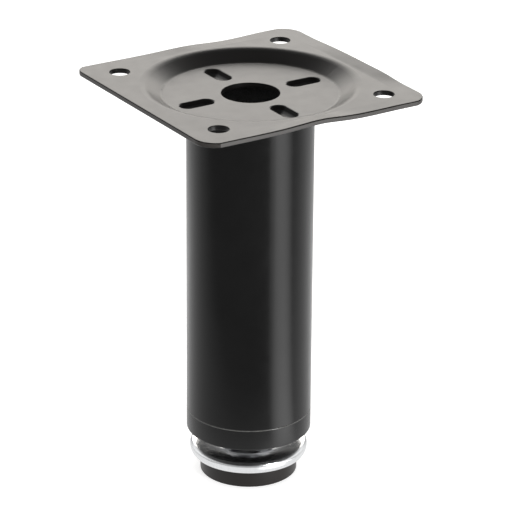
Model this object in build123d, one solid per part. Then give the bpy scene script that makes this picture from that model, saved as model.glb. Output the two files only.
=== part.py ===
from build123d import *
import os
from math import cos, hypot, radians, sin, tan

# Mounting plate: a square pressed from steel strip, in millimetres
plate_side = 100.0
plate_gauge = 2.0
corner_radius = 9.0
tight_corner_radius = 6.0
corner_overrun = 0.5
plate_edge_round = 0.4
mount_hole_pitch = 74.0
mount_hole_diameter = 8.0
hole_edge_round = 0.3

# Ripples that pressing the dish leaves along three edges, clockwise. Each point has its place, as a share
# of the way from the edge's middle to its corner arc, and the flange's tilt there in degrees
front_ripple = [(-0.88, 0.0), (-0.44, -0.9), (-0.2, 3.9), (-0.05, 7.8), (0.29, 3.0), (0.73, 0.0)]
back_ripple = [(-0.88, 0.0), (-0.34, 0.9), (0.02, 3.0), (0.2, 0.0), (0.39, -3.9), (0.61, -3.5), (0.95, 0.0)]
right_ripple = [(-0.85, 0.0), (-0.49, 4.3), (0.2, 6.9), (0.49, 5.6), (0.8, 0.0)]
ripple_gap = 0.25

# Round dish pressed into the plate, which the tube is welded under
dish_depth = 4.0
dish_floor_margin = 8.9
dish_rim_bend = 5.5
dish_floor_bend = 2.5
dish_wall_angle = 29.5
centre_hole_diameter = 22.8

# Weld ridges: short radial grooves pressed through the dish floor across the tube's wall
ridge_count = 4
ridge_length = 15.0
ridge_width = 6.6
ridge_depth = 2.4
ridge_gauge = 1.6
ridge_mouth_round = 0.6

# Leg tube
tube_diameter = 50.0
tube_wall = 1.5
tube_length = 131.2
tube_end_round = 0.25

# Metric fasteners, with the thread at its outside diameter
thread_diameter = 10.0
thread_running_gap = 0.05
nut_across_flats = 17.0
insert_nut_height = 8.0
clamp_nut_height = 5.0
nut_corner_chamfer = 30.0
nut_bore_chamfer = 0.5
stem_length = 35.0
stem_tip_chamfer = 1.2
stem_head_diameter = 17.0
stem_head_height = 3.0
stem_head_round = 0.6
stem_hole_gap = 0.25
clamp_nut_turn = 16.4

# End insert: a moulded plug with a lip as wide as the tube
lip_height = 8.7
lip_bottom_round = 0.5
lip_top_round = 0.3
insert_base = 3.0
spigot_length = 22.0
spigot_wall = 2.4
spigot_gap = 0.6
spigot_lead_in = 1.0
crush_rib_count = 12
crush_rib_length = 17.0
crush_rib_radius = 0.9
crush_rib_gap = 0.05
hub_diameter = 25.0
hub_roof = 4.0
web_count = 8
web_thickness = 1.8
web_height = 9.0
nut_pocket_gap = 0.05
nut_recess = 0.5

# Foot cup: a pressed steel cap with a crowned ring, a nut recess and a skirt that leans in
cup_diameter = 47.5
cup_gauge = 1.0
cup_mouth_height = 7.9
cup_skirt_radius = 5.0
cup_skirt_angle = 34.0
cup_shoulder_radius = 2.0
cup_crown_radius = 17.5
cup_crown_angle = 12.0
cup_recess_depth = 2.2
cup_recess_angle = 26.0
cup_recess_floor_bend = 1.5
cup_recess_rim_bend = 2.0

# Glide pad: a moulded disc snapped into the cup
pad_diameter = 39.0
pad_bottom_round = 0.3
pad_flange_diameter = 44.8
pad_flange_edge = 1.4
pad_to_cup_gap = 0.2
head_pocket_gap = 0.3

# How closely an edge agrees with the size it is picked out by
edge_match = 0.001

# Distance from the clamp nut's top face to the insert's underside, with the foot as it stands
foot_opening = 3.5

# Heights above the floor, from the foot upwards
cup_widest_height = cup_mouth_height + cup_skirt_radius * sin(radians(cup_skirt_angle))
crown_edge_height = cup_widest_height + cup_shoulder_radius * cos(radians(cup_crown_angle))
cup_seat_height = crown_edge_height - cup_recess_depth
cup_seat_underside = cup_seat_height - cup_gauge
stem_head_bottom = cup_seat_underside - stem_head_height
clamp_nut_top = cup_seat_height + clamp_nut_height
insert_bottom = clamp_nut_top + foot_opening
tube_bottom = insert_bottom + lip_height
tube_top = tube_bottom + tube_length
dish_floor_height = tube_top + plate_gauge
plate_top = dish_floor_height + dish_depth

tube_radius = tube_diameter / 2
dish_floor_radius = tube_radius + dish_floor_margin
tube_bore_radius = tube_radius - tube_wall
tube_wall_middle = tube_radius - tube_wall / 2
thread_radius = thread_diameter / 2


def ring_points(count, radius):
    """Places spread evenly round the vertical axis, each turned to face outwards."""
    step = 360 / count
    return [Rotation(0, 0, k * step) * Pos(radius, 0, 0) for k in range(count)]


def tube_solid(outer_radius, inner_radius, bottom, top):
    """A plain vertical ring between two heights."""
    outline = Circle(outer_radius) - Circle(inner_radius)
    return Pos(0, 0, bottom) * extrude(outline, top - bottom)


def disc_solid(radius, bottom, top):
    """A plain upright cylinder between two heights."""
    return Pos(0, 0, bottom) * extrude(Circle(radius), top - bottom)


def circles_of_radius(shape, radius):
    """The circular edges of a shape that have this radius."""
    circles = shape.edges().filter_by(GeomType.CIRCLE)
    return circles.filter_by(lambda edge: abs(edge.radius - radius) < edge_match)


def sheet_side(start, heading, steps, offset):
    """One side of a bent sheet's section: runs and bends, set off to the right by offset."""
    direction = Vector(cos(radians(heading)), sin(radians(heading)))
    point = Vector(*start) + offset * Vector(direction.Y, -direction.X)
    edges = []
    for kind, size, turn in steps:
        if kind == "run":
            edge = Line(point, point + size * direction)
        else:
            bend_radius = size + offset if turn > 0 else size - offset
            edge = JernArc(point, direction, bend_radius, turn)
        edges.append(edge)
        point = edge @ 1
        direction = edge % 1
    return edges


def sheet_ring(start, heading, steps, gauge):
    """A bent sheet of even gauge, turned round the vertical axis."""
    face_side = sheet_side(start, heading, steps, 0)
    back_side = sheet_side(start, heading, steps, gauge)
    ends = [Line(face_side[0] @ 0, back_side[0] @ 0), Line(face_side[-1] @ 1, back_side[-1] @ 1)]
    section = make_face(face_side + back_side + ends)
    return revolve(Plane.XZ * section, Axis.Z)


def capsule(radius, length):
    """A round bar with domed ends, lying along X."""
    reach = length / 2 - radius
    side = Polyline((-reach, 0), (-reach, radius), (reach, radius), (reach, 0))
    middle = make_face([side, Line((reach, 0), (-reach, 0))])
    bar = revolve(middle, Axis.X)
    return bar + Pos(-reach, 0, 0) * Sphere(radius) + Pos(reach, 0, 0) * Sphere(radius)


def hexagon_radius(across_flats):
    """Distance from a hexagon's middle to its corners."""
    return across_flats / 2 / cos(radians(30))


def hex_nut(across_flats, height, bore_radius):
    """A hexagon nut with its corners chamfered on both faces, standing on its lower face."""
    flat_radius = across_flats / 2
    corner = hexagon_radius(across_flats)
    drop = (corner - flat_radius) * tan(radians(nut_corner_chamfer))
    outside = across_flats
    below = Polyline((0, 0), (flat_radius, 0), (corner, drop), (outside, drop))
    above = Polyline((outside, height - drop), (corner, height - drop), (flat_radius, height), (0, height))
    sides = [Line(below @ 1, above @ 0), Line(above @ 1, below @ 0)]
    turned = revolve(Plane.XZ * make_face([below, above] + sides), Axis.Z)
    body = extrude(RegularPolygon(corner, 6), height) & turned
    body -= disc_solid(bore_radius, 0, height)
    return chamfer(circles_of_radius(body, bore_radius), nut_bore_chamfer)


# Mounting plate
def dish_steps():
    """The dish's section from its rim inwards: bend down, wall, bend back, floor."""
    bend_drop = (dish_rim_bend + dish_floor_bend) * (1 - cos(radians(dish_wall_angle)))
    wall_length = (dish_depth - bend_drop) / sin(radians(dish_wall_angle))
    floor_length = dish_floor_radius - centre_hole_diameter / 2
    return [
        ("bend", dish_rim_bend, dish_wall_angle),
        ("run", wall_length, 0),
        ("bend", dish_floor_bend, -dish_wall_angle),
        ("run", floor_length, 0),
    ]


def dish_rim_radius():
    wall_length = dish_steps()[1][1]
    bend_reach = (dish_rim_bend + dish_floor_bend) * sin(radians(dish_wall_angle))
    wall_reach = wall_length * cos(radians(dish_wall_angle))
    return dish_floor_radius + bend_reach + wall_reach


def ridge_circle(depth, width):
    """Radius of the circle that is this wide where it crosses a face and this deep below it."""
    return (width * width / 4 + depth * depth) / (2 * depth)


def ridge_bars(gauge):
    """Domed bars lying in the ridges: the grooves' own form, and with a gauge the ridges' undersides."""
    groove_radius = ridge_circle(ridge_depth, ridge_width)
    axis_height = dish_floor_height - ridge_depth + groove_radius
    bar = capsule(groove_radius + gauge, ridge_length + 2 * gauge)
    return [place * Pos(0, 0, axis_height) * bar for place in ring_points(ridge_count, tube_wall_middle)]


def rippled_strip(ripple, inner):
    """A strip of flange along X: flat on its inner side, and rising and falling along its outer edge."""
    outer = plate_side / 2
    straight = outer - corner_radius
    start, end = ripple[0][0] * straight, ripple[-1][0] * straight
    heights = [(share * straight, outer, (outer - inner) * tan(radians(tilt))) for share, tilt in ripple]
    level_ends = [(1, 0, 0), (1, 0, 0)]
    top = Spline(*heights, tangents=level_ends)
    bottom = Pos(0, 0, -plate_gauge) * top
    outer_face = make_face([top, bottom, Line(top @ 0, bottom @ 0), Line(top @ 1, bottom @ 1)])
    inner_corners = [(start, 0), (end, 0), (end, -plate_gauge), (start, -plate_gauge)]
    inner_face = make_face(Polyline(*[(place, inner, level) for place, level in inner_corners], close=True))
    return loft([inner_face, outer_face], ruled=True)


def flat_strip(ripple, inner):
    """The strip of flat flange that a rippled strip takes the place of."""
    return rippled_strip([(share, 0) for share, tilt in (ripple[0], ripple[-1])], inner)


def make_flange(rim_radius):
    """The flat margin round the dish, with its corners cut, its edges rippled and rounded."""
    blank = Rectangle(plate_side, plate_side + 2 * corner_overrun)
    left_end = blank.vertices().sort_by(Axis.X)[:2].sort_by(Axis.Y)[-1]
    other_ends = blank.vertices().sort_by_distance(left_end)[1:]
    blank = fillet(other_ends, corner_radius)
    left_end = blank.vertices().sort_by_distance(Vector(-plate_side, plate_side))[0]
    blank = fillet(left_end, tight_corner_radius)
    blank &= Rectangle(2 * plate_side, plate_side)
    flange = extrude(blank, -plate_gauge)

    hole_reach = (mount_hole_pitch + mount_hole_diameter) / 2 + hole_edge_round
    inner = max(rim_radius, hole_reach) + ripple_gap
    for turn, ripple in ((180, front_ripple), (0, back_ripple), (-90, right_ripple)):
        strip = Rotation(0, 0, turn) * rippled_strip(ripple, inner)
        window = Rotation(0, 0, turn) * flat_strip(ripple, inner)
        flange = flange - window + strip
    rims = flange.edges().filter_by(lambda edge: on_outline(edge) and abs((edge % 0.5).Z) < 0.5)
    flange = fillet(rims, plate_edge_round)
    return Pos(0, 0, plate_top) * flange - disc_solid(rim_radius, plate_top - plate_gauge, plate_top)


def on_outline(edge):
    """Whether an edge of the flange runs along its straight sides or its corner arcs."""
    middle = edge @ 0.5
    on_side = abs(max(abs(middle.X), abs(middle.Y)) - plate_side / 2) < edge_match
    return on_side or edge.geom_type == GeomType.CIRCLE


def make_mounting_plate():
    rim_radius = dish_rim_radius()
    flange = make_flange(rim_radius)
    dish = sheet_ring((rim_radius, plate_top), 180, dish_steps(), -plate_gauge)
    plate = flange + dish

    headroom = disc_solid(rim_radius, dish_floor_height - plate_gauge / 2, plate_top + ridge_length)
    for bar in ridge_bars(ridge_gauge):
        plate += bar - headroom
    for bar in ridge_bars(0):
        plate -= bar
    on_floor = plate.edges().filter_by(lambda edge: abs(edge.center().Z - dish_floor_height) < edge_match)
    mouths = on_floor.filter_by(
        lambda edge: abs(hypot(edge.center().X, edge.center().Y) - tube_wall_middle) < ridge_length / 2
    )
    plate = fillet(mouths, ridge_mouth_round)

    mount_hole = disc_solid(mount_hole_diameter / 2, plate_top - plate_gauge, plate_top)
    for place in GridLocations(mount_hole_pitch, mount_hole_pitch, 2, 2):
        plate -= place * mount_hole
    plate = fillet(circles_of_radius(plate, mount_hole_diameter / 2), hole_edge_round)
    return fillet(circles_of_radius(plate, centre_hole_diameter / 2), hole_edge_round)


# Leg tube, notched at its top end where the weld ridges melted into it
def make_leg_tube():
    tube = tube_solid(tube_radius, tube_bore_radius, tube_bottom, tube_top)
    outer_bottom = tube.edges().filter_by(GeomType.CIRCLE).group_by(Axis.Z)[0].sort_by(SortBy.RADIUS)[-1]
    tube = fillet(outer_bottom, tube_end_round)
    for bar in ridge_bars(ridge_gauge):
        tube -= bar
    return tube


# End insert
def make_end_insert():
    spigot_radius = tube_bore_radius - spigot_gap
    cavity_radius = spigot_radius - spigot_wall
    spigot_top = tube_bottom + spigot_length
    base_top = insert_bottom + insert_base
    pocket_height = nut_recess + insert_nut_height + nut_pocket_gap
    hub_top = insert_bottom + pocket_height + hub_roof

    lip = tube_solid(tube_radius, cavity_radius, insert_bottom, tube_bottom)
    base = tube_solid(tube_radius, thread_radius + stem_hole_gap, insert_bottom, base_top)
    shell = lip + base
    shell = fillet(shell.edges().group_by(Axis.Z)[-1].sort_by(SortBy.RADIUS)[-1], lip_top_round)
    shell = fillet(shell.edges().group_by(Axis.Z)[0].sort_by(SortBy.RADIUS)[-1], lip_bottom_round)
    spigot = tube_solid(spigot_radius, cavity_radius, base_top, spigot_top)
    spigot = chamfer(spigot.edges().group_by(Axis.Z)[-1].sort_by(SortBy.RADIUS)[-1], spigot_lead_in)
    hub = tube_solid(hub_diameter / 2, thread_radius + stem_hole_gap, insert_bottom, hub_top)
    insert = shell + spigot + hub

    web_inner = (hub_diameter / 2 + thread_radius) / 2
    web_outer = cavity_radius + spigot_wall / 2
    web = Box(web_outer - web_inner, web_thickness, web_height, align=(Align.MIN, Align.CENTER, Align.MIN))
    for place in ring_points(web_count, web_inner):
        insert += place * Pos(0, 0, base_top) * web

    rib_axis = tube_bore_radius - crush_rib_gap - crush_rib_radius
    rib = Cylinder(crush_rib_radius, crush_rib_length, align=(Align.CENTER, Align.CENTER, Align.MIN))
    rib += Pos(0, 0, crush_rib_length) * Sphere(crush_rib_radius)
    cavity = disc_solid(cavity_radius + spigot_wall / 2, base_top, spigot_top)
    for place in ring_points(crush_rib_count, rib_axis):
        insert += place * Pos(0, 0, tube_bottom) * rib - cavity

    pocket_corner = hexagon_radius(nut_across_flats + 2 * nut_pocket_gap)
    pocket = extrude(RegularPolygon(pocket_corner, 6), pocket_height)
    return insert - Pos(0, 0, insert_bottom) * pocket


def make_insert_nut():
    nut = hex_nut(nut_across_flats, insert_nut_height, thread_radius + thread_running_gap)
    return Pos(0, 0, insert_bottom + nut_recess) * nut


# Stem: a stud with a flat round head under the cup
def make_stem():
    shank = Cylinder(thread_radius, stem_length, align=(Align.CENTER, Align.CENTER, Align.MIN))
    shank = chamfer(shank.edges().group_by(Axis.Z)[-1], stem_tip_chamfer)
    head = Cylinder(stem_head_diameter / 2, stem_head_height, align=(Align.CENTER, Align.CENTER, Align.MAX))
    head = fillet(head.edges().group_by(Axis.Z)[0], stem_head_round)
    return Pos(0, 0, cup_seat_underside) * (shank + head)


def make_clamp_nut():
    nut = hex_nut(nut_across_flats, clamp_nut_height, thread_radius + thread_running_gap)
    return Pos(0, 0, cup_seat_height) * Rotation(0, 0, clamp_nut_turn) * nut


# Foot cup
def cup_steps():
    """The cup's section from its stem hole outwards, with the last two bends forming the skirt."""
    rise_angle = cup_recess_angle - cup_crown_angle
    floor_bend_rise = cup_recess_floor_bend * (1 - cos(radians(cup_recess_angle)))
    rim_bend_rise = cup_recess_rim_bend * (cos(radians(cup_crown_angle)) - cos(radians(cup_recess_angle)))
    wall = (cup_recess_depth - floor_bend_rise - rim_bend_rise) / sin(radians(cup_recess_angle))
    reach = cup_shoulder_radius * (1 - sin(radians(cup_crown_angle)))
    reach += 2 * cup_crown_radius * sin(radians(cup_crown_angle))
    reach += cup_recess_rim_bend * (sin(radians(cup_recess_angle)) - sin(radians(cup_crown_angle)))
    reach += wall * cos(radians(cup_recess_angle))
    reach += cup_recess_floor_bend * sin(radians(cup_recess_angle))
    floor = cup_diameter / 2 - reach - thread_radius - stem_hole_gap
    return [
        ("run", floor, 0),
        ("bend", cup_recess_floor_bend, cup_recess_angle),
        ("run", wall, 0),
        ("bend", cup_recess_rim_bend, -rise_angle),
        ("bend", cup_crown_radius, -2 * cup_crown_angle),
        ("bend", cup_shoulder_radius, cup_crown_angle - 90),
        ("bend", cup_skirt_radius, -cup_skirt_angle),
    ]


cup_start = (thread_radius + stem_hole_gap, cup_seat_height)


def make_foot_cup():
    return sheet_ring(cup_start, 0, cup_steps(), cup_gauge)


# Glide pad, whose top follows the cup's underside
def make_glide_pad():
    pad_radius = pad_diameter / 2
    flange_radius = pad_flange_diameter / 2
    flange_bottom = cup_mouth_height + cup_gauge
    body = disc_solid(pad_radius, 0, crown_edge_height)
    body = fillet(body.edges().group_by(Axis.Z)[0], pad_bottom_round)
    flange = disc_solid(flange_radius, flange_bottom, crown_edge_height)
    flange = chamfer(flange.edges().group_by(Axis.Z)[0], pad_flange_edge / 2, pad_flange_edge)
    pad = body + flange

    upper_side = sheet_side(cup_start, 0, cup_steps(), cup_gauge + pad_to_cup_gap)
    first, last = upper_side[0] @ 0, upper_side[-1] @ 1
    outside = cup_diameter
    above = 2 * cup_diameter
    outer_turn = [(last.X, last.Y), (outside, last.Y), (outside, above)]
    inner_turn = [(0, above), (0, first.Y), (first.X, first.Y)]
    around = Polyline(*outer_turn, *inner_turn)
    clearance = revolve(Plane.XZ * make_face(upper_side + [around]), Axis.Z)
    head_pocket = disc_solid(stem_head_diameter / 2 + head_pocket_gap, stem_head_bottom, above)
    return pad - clearance - head_pocket


def main():
    os.makedirs("parts", exist_ok=True)
    parts = {
        "mounting_plate": make_mounting_plate(),
        "leg_tube": make_leg_tube(),
        "end_insert": make_end_insert(),
        "insert_nut": make_insert_nut(),
        "stem": make_stem(),
        "clamp_nut": make_clamp_nut(),
        "foot_cup": make_foot_cup(),
        "glide_pad": make_glide_pad(),
    }
    for name, shape in parts.items():
        export_step(shape, f"parts/{name}.step")
    print("height", round(plate_top, 2))


main()
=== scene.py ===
import math

import bpy
from mathutils import Matrix, Vector


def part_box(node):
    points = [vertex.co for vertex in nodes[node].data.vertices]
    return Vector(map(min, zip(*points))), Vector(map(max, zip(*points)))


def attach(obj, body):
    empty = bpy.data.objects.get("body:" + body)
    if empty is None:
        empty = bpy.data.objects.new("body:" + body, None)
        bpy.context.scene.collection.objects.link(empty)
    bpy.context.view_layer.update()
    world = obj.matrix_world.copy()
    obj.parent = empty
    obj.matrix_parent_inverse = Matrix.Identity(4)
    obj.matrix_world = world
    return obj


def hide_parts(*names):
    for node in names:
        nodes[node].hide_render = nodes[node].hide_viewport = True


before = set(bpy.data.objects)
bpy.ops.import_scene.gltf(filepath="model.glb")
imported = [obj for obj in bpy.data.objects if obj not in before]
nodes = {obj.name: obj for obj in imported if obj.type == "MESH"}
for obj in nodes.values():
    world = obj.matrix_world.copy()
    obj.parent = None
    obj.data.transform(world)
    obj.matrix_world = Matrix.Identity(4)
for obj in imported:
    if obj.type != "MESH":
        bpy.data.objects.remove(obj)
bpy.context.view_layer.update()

# Sizes read from the frame, in metres
plate_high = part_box("mounting_plate")[1]
tube_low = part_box("leg_tube")[0]
stem_low, stem_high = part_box("stem")

# Camera: a long lens a metre and a quarter away, turned slightly
camera_azimuth = -32.15
camera_elevation = 22.92
camera_roll = 0.4
camera_place = (-0.58896, -0.94183, 0.56205)
camera_lens = 214.68
sensor_width = 36.0
clip_near = 0.05
clip_far = 20.0

# Stem: the M10 thread, and the flat head below it. The crest is a share of the pitch
thread_pitch = 0.0015
thread_depth = 0.0009
thread_crest = 0.125
thread_start = 0.0012
tip_chamfer = 0.0012
shank_radius = 0.005
head_height = 0.003
head_round = 0.0006
head_round_steps = 4
turn_steps = 48
rings_per_turn = 10

# Noise in the finishes: its scales, the part of its range that is used, the strength of its bump,
# and the least share of a recoloured mark that shows through its speckle
tone_scale = 60.0
patch_scale = 180.0
drawing_scale = 900.0
speckle_scale = 1500.0
noise_low = 0.3
noise_high = 0.7
peel_strength = 0.3
drawing_strength = 0.1
least_speckle = 0.6

# Grey painted highlight where the insert meets the tube: how far it reaches under and over the
# tube's end
hairline_under = 0.0003
hairline_over = 0.0002
hairline_soft = 0.0001

# Inside of the tube, lightened with painted light: all that lies within this radius
bore_radius = 0.0237
bore_soft = 1.01

# Painted highlight on the plate's sheet edge: how far it lies inside the plate's side, and how
# level it faces
edge_band_start = 0.0037
edge_band_full = 0.0034
edge_level_full = 0.2
edge_level_none = 0.4

# Small rounds at the top of edges: the upward slopes that they lie between, and their dull shine
round_from = (0.05, 0.2)
round_until = (0.68, 0.82)
round_shine = 0.05

# Floor: its size, height and tone, its brightness as the camera and the mirrors see it, and where
# that changes
floor_reach = 4.0
floor_height = -0.00003
floor_roughness = 0.9
floor_scale = 3.0
floor_dark = (0.80, 0.80, 0.80)
floor_light = (0.82, 0.82, 0.82)
floor_glow_camera = 0.58
floor_glow_back = 1.05
floor_glow_front = 0.19
floor_back = -0.18
floor_front = 0.12
falloff_near = 1.3
falloff_far = 0.6
falloff_start = 0.1
falloff_end = 0.4

# A bright pool round the foot, and a strip of light on the floor at the right, which lies nearer
# the camera inside the pool. Only mirrors see them. The strip begins a little way out from the foot
pool_core = 0.046
pool_edge = 0.07
pool_glow = 0.92
strip_azimuth = 57
strip_glow = 1.7
pool_strip_azimuth = 35
pool_strip_glow = 1.0
strip_core = math.radians(4)
strip_edge = math.radians(23)
strip_start = 0.03
strip_full = 0.034

# Studio: its brightness in mirrors, bright low down and dim overhead, and its fill light
overhead_elevation = 75
studio_bright = 1.0
studio_dim = 0.06
bright_until = 0.28
dim_from = 0.5
studio_fill = 0.8

# The studio on the camera's side: grey, and dim higher up
front_edge = -0.1
front_core = 0.6
front_grey = 0.7
front_dim = 0.2
front_grey_until = 0.45
front_dim_from = 0.7

# The dim strip low on the backdrop, which the cup and the wall of the dish mirror
backdrop_edge = 0.62
backdrop_core = 0.85
horizon_dim = 0.2
horizon_low = 0.18
horizon_high = 0.3

# The point that the lamps look at
light_centre = (0, 0, 0.08)


def heading(azimuth, elevation=0):
    """Direction from the leg at this azimuth and elevation; azimuth 0 is towards -Y."""
    a, e = math.radians(azimuth), math.radians(elevation)
    return Vector((math.sin(a) * math.cos(e), -math.cos(a) * math.cos(e), math.sin(e)))


def link_object(name, data):
    """A new object in the scene."""
    thing = bpy.data.objects.new(name, data)
    bpy.context.scene.collection.objects.link(thing)
    return thing


def node_material(name):
    """A new material with its principled shader."""
    material = bpy.data.materials.new(name)
    material.use_nodes = True
    return material, material.node_tree, material.node_tree.nodes["Principled BSDF"]


def add_node(tree, kind, **settings):
    """A new node, with values for its sockets and settings."""
    node = tree.nodes.new(kind)
    for key, value in settings.items():
        if key in node.inputs:
            node.inputs[key].default_value = value
        else:
            setattr(node, key, value)
    return node


def noise(tree, scale, detail=3.0, roughness=0.5, stretch=(1, 1, 1)):
    """Noise in the object's own space, where one unit is a metre."""
    place = add_node(tree, "ShaderNodeTexCoord")
    mapping = add_node(tree, "ShaderNodeMapping", Scale=stretch)
    cloud = add_node(tree, "ShaderNodeTexNoise", Scale=scale, Detail=detail, Roughness=roughness)
    tree.links.new(place.outputs["Object"], mapping.inputs["Vector"])
    tree.links.new(mapping.outputs["Vector"], cloud.inputs["Vector"])
    return cloud.outputs["Fac"]


def spread(tree, value, low, high, from_low=noise_low, from_high=noise_high):
    """Maps a value from one range to another, and holds it at the ends."""
    node = add_node(tree, "ShaderNodeMapRange")
    node.inputs["From Min"].default_value = from_low
    node.inputs["From Max"].default_value = from_high
    node.inputs["To Min"].default_value = low
    node.inputs["To Max"].default_value = high
    tree.links.new(value, node.inputs["Value"])
    return node.outputs["Result"]


def mix_values(tree, factor, low, high):
    """Mixes two strengths, each a number or a socket."""
    node = add_node(tree, "ShaderNodeMix", data_type="FLOAT", clamp_factor=False)
    tree.links.new(factor, node.inputs["Factor"])
    for name, value in (("A", low), ("B", high)):
        if isinstance(value, (int, float)):
            node.inputs[name].default_value = value
        else:
            tree.links.new(value, node.inputs[name])
    return node.outputs["Result"]


def mix_shaders(tree, factor, first, second):
    """The first shader where the factor is nought, and the second where it is one."""
    node = add_node(tree, "ShaderNodeMixShader")
    tree.links.new(factor, node.inputs["Fac"])
    tree.links.new(first, node.inputs[1])
    tree.links.new(second, node.inputs[2])
    return node.outputs[0]


def reckon(tree, operation, first, second):
    """Maths on two sockets."""
    node = add_node(tree, "ShaderNodeMath", operation=operation)
    tree.links.new(first, node.inputs[0])
    tree.links.new(second, node.inputs[1])
    return node.outputs[0]


def total(tree, first, second):
    return reckon(tree, "ADD", first, second)


def product(tree, first, second):
    return reckon(tree, "MULTIPLY", first, second)


def between(tree, value, rise, fall):
    """One where the value lies after the rise and before the fall, and nought beyond them."""
    after = spread(tree, value, 0.0, 1.0, *rise)
    before = spread(tree, value, 1.0, 0.0, *fall)
    return product(tree, after, before)


def vector_node(tree, operation, vector):
    """Maths on one vector socket."""
    node = add_node(tree, "ShaderNodeVectorMath", operation=operation)
    tree.links.new(vector, node.inputs[0])
    return node


def along(tree, vector, direction):
    """How far a vector points along a direction."""
    node = vector_node(tree, "DOT_PRODUCT", vector)
    node.inputs[1].default_value = direction
    return node.outputs["Value"]


def axes(tree, vector):
    """A vector's X, Y and Z."""
    node = add_node(tree, "ShaderNodeSeparateXYZ")
    tree.links.new(vector, node.inputs[0])
    return node.outputs


def own_place(tree):
    """The place on the piece, in the leg's own space."""
    return add_node(tree, "ShaderNodeTexCoord").outputs["Object"]


def facing_up(tree):
    """Height part of the surface's direction, in the leg's own space."""
    return axes(tree, add_node(tree, "ShaderNodeTexCoord").outputs["Normal"])["Z"]


def two_tone(tree, value, dark, light):
    """Two colours blended by a noise value."""
    ramp = add_node(tree, "ShaderNodeValToRGB")
    low, high = ramp.color_ramp.elements
    low.position, high.position = noise_low, noise_high
    low.color, high.color = (*dark, 1), (*light, 1)
    tree.links.new(value, ramp.inputs["Fac"])
    return ramp.outputs["Color"]


def bump(tree, height, strength, distance):
    node = add_node(tree, "ShaderNodeBump", Strength=strength, Distance=distance)
    tree.links.new(height, node.inputs["Height"])
    return node.outputs["Normal"]


def coating(name, dark, light, roughness, shine, grain, grain_height):
    """Black coating or moulded plastic with a fine orange-peel surface."""
    material, tree, shader = node_material(name)
    shader.inputs["Specular IOR Level"].default_value = shine
    tone = noise(tree, tone_scale)
    tree.links.new(two_tone(tree, tone, dark, light), shader.inputs["Base Color"])
    patch = noise(tree, patch_scale, detail=4.0)
    tree.links.new(spread(tree, patch, *roughness), shader.inputs["Roughness"])
    peel = noise(tree, grain, detail=2.0)
    tree.links.new(bump(tree, peel, peel_strength, grain_height), shader.inputs["Normal"])
    return material


def bright_metal(name, dark, light, roughness, stretch, grain_height):
    """Plated steel with faint drawing marks."""
    material, tree, shader = node_material(name)
    shader.inputs["Metallic"].default_value = 1.0
    marks = noise(tree, drawing_scale, stretch=stretch)
    tree.links.new(two_tone(tree, marks, dark, light), shader.inputs["Base Color"])
    tree.links.new(spread(tree, marks, *roughness), shader.inputs["Roughness"])
    tree.links.new(bump(tree, marks, drawing_strength, grain_height), shader.inputs["Normal"])
    return material


def painted_joint_highlight_mask(tree):
    """One in a thin band at the tube's lower end, where the insert gets a painted highlight."""
    low, high = tube_low.z - hairline_under, tube_low.z + hairline_over
    height = axes(tree, own_place(tree))["Z"]
    return between(tree, height, (low - hairline_soft, low), (high, high + hairline_soft))


def painted_bore_light_mask(tree):
    """One inside the tube, where painted light lightens the coating."""
    level = add_node(tree, "ShaderNodeMapping", Scale=(1, 1, 0))
    tree.links.new(own_place(tree), level.inputs["Vector"])
    distance = vector_node(tree, "LENGTH", level.outputs["Vector"]).outputs["Value"]
    return spread(tree, distance, 1.0, 0.0, bore_radius, bore_radius * bore_soft)


def painted_edge_highlight_mask(tree):
    """One on the plate's outer edge faces, which get a painted highlight, and nought on its holes
    and its broad faces.
    """
    sides = axes(tree, vector_node(tree, "ABSOLUTE", own_place(tree)).outputs["Vector"])
    outward = reckon(tree, "MAXIMUM", sides["X"], sides["Y"])
    band = (plate_high.x - edge_band_start, plate_high.x - edge_band_full)
    outside = spread(tree, outward, 0.0, 1.0, *band)
    rise, fall = (-edge_level_none, -edge_level_full), (edge_level_full, edge_level_none)
    return product(tree, outside, between(tree, facing_up(tree), rise, fall))


def recolour(material, mask_of, colour, strength):
    """Mixes another colour into a material's base colour where the mask is."""
    tree = material.node_tree
    base = tree.nodes["Principled BSDF"].inputs["Base Color"]
    mask = mask_of(tree)
    speckle = noise(tree, speckle_scale)
    amount = product(tree, mask, spread(tree, speckle, strength * least_speckle, strength))
    # Sockets 6 and 7 are the two colours, and 2 is the mixed one
    mix = add_node(tree, "ShaderNodeMix", data_type="RGBA")
    tree.links.new(amount, mix.inputs["Factor"])
    tree.links.new(base.links[0].from_socket, mix.inputs[6])
    mix.inputs[7].default_value = (*colour, 1)
    tree.links.new(mix.outputs[2], base)


def dull_top_edges(material, dull):
    """Lowers the mirror strength on the small rounds along the top of edges, holes and ridges."""
    tree = material.node_tree
    shine = tree.nodes["Principled BSDF"].inputs["Specular IOR Level"]
    rounds = between(tree, facing_up(tree), round_from, round_until)
    tree.links.new(mix_values(tree, rounds, shine.default_value, dull), shine)


plate_coating = coating(
    "plate_coating", dark=(0.006, 0.0055, 0.005), light=(0.009, 0.008, 0.0075),
    roughness=(0.33, 0.36), shine=0.65, grain=1400.0, grain_height=0.00002,
)
tube_coating = coating(
    "tube_coating", dark=(0.003, 0.003, 0.003), light=(0.005, 0.005, 0.005),
    roughness=(0.18, 0.23), shine=0.5, grain=900.0, grain_height=0.00001,
)
insert_plastic = coating(
    "insert_plastic", dark=(0.005, 0.005, 0.005), light=(0.008, 0.008, 0.008),
    roughness=(0.22, 0.28), shine=0.5, grain=2500.0, grain_height=0.00001,
)
pad_plastic = coating(
    "pad_plastic", dark=(0.004, 0.0022, 0.0014), light=(0.007, 0.004, 0.0026),
    roughness=(0.36, 0.42), shine=0.42, grain=3000.0, grain_height=0.00002,
)
chromed_steel = bright_metal(
    "chromed_steel", dark=(0.81, 0.82, 0.83), light=(0.85, 0.86, 0.87),
    roughness=(0.20, 0.26), stretch=(1, 1, 0.2), grain_height=0.000001,
)
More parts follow.
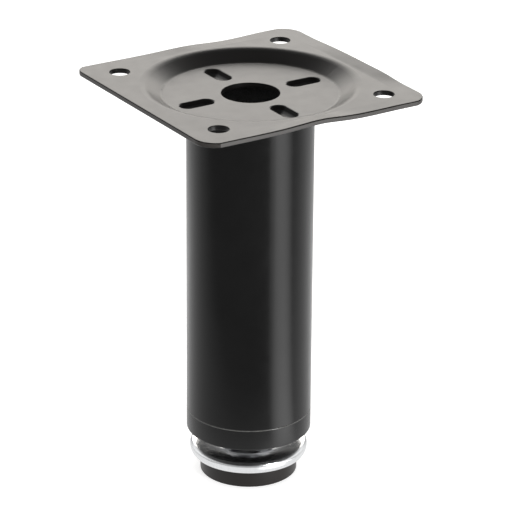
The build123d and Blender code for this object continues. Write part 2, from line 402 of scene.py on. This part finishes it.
zinc_steel = bright_metal(
    "zinc_plated_steel", dark=(0.45, 0.46, 0.48), light=(0.54, 0.54, 0.55),
    roughness=(0.20, 0.26), stretch=(1, 1, 0.3), grain_height=0.000001,
)

# Painted highlight: the grey line on the insert at the tube's end stands for light caught by its
# small top round
recolour(insert_plastic, painted_joint_highlight_mask, colour=(0.22, 0.22, 0.21), strength=0.6)
# Painted light: the inside of the tube is lightened to stand for light that reaches in
recolour(tube_coating, painted_bore_light_mask, colour=(0.12, 0.12, 0.12), strength=0.9)
# Painted highlight: the plate's outer edge faces are lightened to stand for light that they catch
recolour(plate_coating, painted_edge_highlight_mask, colour=(0.045, 0.04, 0.036), strength=0.9)
dull_top_edges(plate_coating, round_shine)

finishes = {
    "mounting_plate": plate_coating,
    "leg_tube": tube_coating,
    "end_insert": insert_plastic,
    "insert_nut": zinc_steel,
    "clamp_nut": zinc_steel,
    "foot_cup": chromed_steel,
    "glide_pad": pad_plastic,
    "stem": zinc_steel,
}
for name, material in finishes.items():
    nodes[name].data.materials.clear()
    nodes[name].data.materials.append(material)


def thread_radius(turns, height, bottom, top):
    """Radius of the threaded shank at this height, at this share of a turn round it."""
    share = (height / thread_pitch - turns) % 1.0
    flank = abs(2 * share - 1)
    crest = min(max((flank - thread_crest) / (1 - 2 * thread_crest), 0.0), 1.0)
    cut = thread_depth * (1 - crest)
    cut *= min(max((height - bottom) / thread_start, 0.0), 1.0)
    return min(shank_radius - cut, shank_radius - tip_chamfer + max(top - height, 0.0))


def stem_rings():
    """Each ring's radius and height and whether it is threaded, upwards, and the head's top."""
    head_radius = stem_high.x
    head_top = stem_low.z + head_height
    quarter = [math.radians(90 / head_round_steps * k) for k in range(head_round_steps + 1)]
    rings = []
    for angle in quarter:
        radius = head_radius - head_round * (1 - math.sin(angle))
        rings.append((radius, stem_low.z + head_round * (1 - math.cos(angle)), False))
    for angle in quarter:
        radius = head_radius - head_round * (1 - math.cos(angle))
        rings.append((radius, head_top - head_round * (1 - math.sin(angle)), False))
    count = int((stem_high.z - head_top) / thread_pitch * rings_per_turn)
    for k in range(count + 1):
        rings.append((shank_radius, head_top + (stem_high.z - head_top) * k / count, True))
    return rings, head_top


def make_stem():
    """The threaded stud with its flat round head, as rings of points joined upwards."""
    rings, head_top = stem_rings()
    points = []
    for radius, height, threaded in rings:
        for step in range(turn_steps):
            turns = step / turn_steps
            if threaded:
                radius = thread_radius(turns, height, head_top, stem_high.z)
            angle = 2 * math.pi * turns
            points.append((radius * math.cos(angle), radius * math.sin(angle), height))
    faces = []
    for start in range(0, (len(rings) - 1) * turn_steps, turn_steps):
        for step in range(turn_steps):
            here, beside = start + step, start + (step + 1) % turn_steps
            faces.append((here, beside, beside + turn_steps, here + turn_steps))
    faces.append(tuple(reversed(range(turn_steps))))
    faces.append(tuple(range((len(rings) - 1) * turn_steps, len(rings) * turn_steps)))
    mesh = bpy.data.meshes.new("threaded_stem")
    mesh.from_pydata(points, [], faces)
    sides = [len(polygon.vertices) == 4 for polygon in mesh.polygons]
    mesh.polygons.foreach_set("use_smooth", sides)
    mesh.materials.append(zinc_steel)
    stem = link_object("threaded_stem", mesh)
    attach(stem, "screw_foot")
    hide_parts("stem")


def seen_directly(tree):
    """The kinds of ray, and one for what is seen straight, mirrored or through glass."""
    rays = add_node(tree, "ShaderNodeLightPath").outputs
    bare = reckon(tree, "MAXIMUM", rays["Is Camera Ray"], rays["Is Glossy Ray"])
    return rays, reckon(tree, "MAXIMUM", bare, rays["Is Transmission Ray"])


def floor_mirror_glow(tree, place):
    """How bright the floor looks in the leg's mirrors: a gradient, the pool and the strips."""
    toward = along(tree, place, heading(camera_azimuth))
    distance = vector_node(tree, "LENGTH", place).outputs["Value"]
    direction = vector_node(tree, "NORMALIZE", place).outputs["Vector"]
    reach_back = spread(tree, toward, 1.0, 0.0, floor_back, floor_front)
    falloff = spread(tree, distance, falloff_near, falloff_far, falloff_start, falloff_end)
    backness = product(tree, reach_back, falloff)
    gradient = mix_values(tree, backness, floor_glow_front, floor_glow_back)
    strips = []
    for azimuth, glow in ((strip_azimuth, strip_glow), (pool_strip_azimuth, pool_strip_glow)):
        nearness = along(tree, direction, heading(camera_azimuth + azimuth))
        strips.append(spread(tree, nearness, 0.0, glow, math.cos(strip_edge), math.cos(strip_core)))
    pool = spread(tree, distance, 1.0, 0.0, pool_core, pool_edge)
    outside = spread(tree, distance, 0.0, 1.0, strip_start, strip_full)
    strip = product(tree, outside, mix_values(tree, pool, *strips))
    return total(tree, mix_values(tree, pool, gradient, pool_glow), strip)


def make_floor():
    """A pale floor under the foot: white in the picture, shadowed, and clear from underneath."""
    mesh = bpy.data.meshes.new("floor")
    sides = ((-1, -1), (1, -1), (1, 1), (-1, 1))
    corners = [(x * floor_reach, y * floor_reach, floor_height) for x, y in sides]
    mesh.from_pydata(corners, [], [(0, 1, 2, 3)])
    floor = link_object("floor", mesh)
    material, tree, shader = node_material("pale_floor")
    shader.inputs["Roughness"].default_value = floor_roughness
    shader.inputs["Specular IOR Level"].default_value = 0.0
    tone = two_tone(tree, noise(tree, floor_scale), floor_dark, floor_light)
    tree.links.new(tone, shader.inputs["Base Color"])

    surface = add_node(tree, "ShaderNodeNewGeometry").outputs
    rays, seen = seen_directly(tree)
    mirrored = floor_mirror_glow(tree, surface["Position"])
    glow = mix_values(tree, rays["Is Camera Ray"], mirrored, floor_glow_camera)
    shown = add_node(tree, "ShaderNodeEmission", Color=(1, 1, 1, 1))
    tree.links.new(glow, shown.inputs["Strength"])
    lit = add_node(tree, "ShaderNodeAddShader")
    tree.links.new(shader.outputs["BSDF"], lit.inputs[0])
    tree.links.new(shown.outputs["Emission"], lit.inputs[1])
    picture = mix_shaders(tree, rays["Is Glossy Ray"], lit.outputs[0], shown.outputs["Emission"])
    upper_side = mix_shaders(tree, seen, shader.outputs["BSDF"], picture)
    clear = add_node(tree, "ShaderNodeBsdfTransparent").outputs[0]
    one_sided = mix_shaders(tree, surface["Backfacing"], upper_side, clear)
    tree.links.new(one_sided, tree.nodes["Material Output"].inputs["Surface"])
    mesh.materials.append(material)
    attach(floor, "glide")


def soft_light(name, azimuth, elevation, distance, width, height, power, colour):
    """A flat lamp that looks at the middle of the leg."""
    data = bpy.data.lights.new(name, "AREA")
    data.shape = "RECTANGLE"
    data.size, data.size_y = width, height
    data.energy = power
    data.color = colour
    centre = Vector(light_centre)
    place = centre + distance * heading(azimuth, elevation)
    light = link_object(name, data)
    light.location = place
    light.rotation_mode = "QUATERNION"
    light.rotation_quaternion = (centre - place).to_track_quat("-Z", "Y")


def make_world():
    """White behind and at the sides, dim overhead, and grey to dim upwards on the camera's side."""
    world = bpy.data.worlds.new("studio")
    bpy.context.scene.world = world
    world.use_nodes = True
    tree = world.node_tree
    tree.nodes.clear()
    place = add_node(tree, "ShaderNodeTexCoord").outputs["Generated"]
    height = axes(tree, place)["Z"]
    overhead = along(tree, place, heading(camera_azimuth, overhead_elevation))
    ceiling = spread(tree, overhead, studio_bright, studio_dim, bright_until, dim_from)
    toward = along(tree, place, heading(camera_azimuth))
    front = spread(tree, height, front_grey, front_dim, front_grey_until, front_dim_from)
    frontness = spread(tree, toward, 0.0, 1.0, front_edge, front_core)
    open_studio = product(tree, ceiling, mix_values(tree, frontness, 1.0, front))
    backdrop = spread(tree, toward, 1.0, 0.0, -backdrop_core, -backdrop_edge)
    horizon = spread(tree, height, horizon_dim, 1.0, horizon_low, horizon_high)
    studio = mix_values(tree, backdrop, open_studio, product(tree, open_studio, horizon))
    rays, seen = seen_directly(tree)
    mirrored = mix_values(tree, seen, studio_fill, studio)
    strength = mix_values(tree, rays["Is Camera Ray"], mirrored, 1.0)
    background = add_node(tree, "ShaderNodeBackground", Color=(1, 1, 1, 1))
    tree.links.new(strength, background.inputs["Strength"])
    output = add_node(tree, "ShaderNodeOutputWorld")
    tree.links.new(background.outputs["Background"], output.inputs["Surface"])


def make_camera():
    """The camera at the photograph's angle, rolled about its own line of sight."""
    data = bpy.data.cameras.new("camera")
    data.lens = camera_lens
    data.sensor_width = sensor_width
    data.clip_start, data.clip_end = clip_near, clip_far
    camera = link_object("camera", data)
    back = heading(camera_azimuth, camera_elevation)
    forward = -back
    right = forward.cross(Vector((0, 0, 1))).normalized()
    up = right.cross(forward)
    roll = math.radians(camera_roll)
    right_rolled = right * math.cos(roll) + up * math.sin(roll)
    up_rolled = -right * math.sin(roll) + up * math.cos(roll)
    turn = Matrix((right_rolled, up_rolled, back)).transposed().to_4x4()
    camera.matrix_world = Matrix.Translation(camera_place) @ turn
    bpy.context.scene.camera = camera


make_stem()
make_floor()
soft_light(
    "key_panel", azimuth=camera_azimuth + 45, elevation=6, distance=0.9,
    width=0.22, height=0.34, power=4.8, colour=(1, 1, 1),
)
soft_light(
    "back_panel", azimuth=camera_azimuth + 180, elevation=22, distance=1.6,
    width=1.5, height=0.8, power=8.2, colour=(1.0, 0.95, 0.88),
)
make_world()
make_camera()
bpy.context.scene.view_settings.view_transform = "Standard"
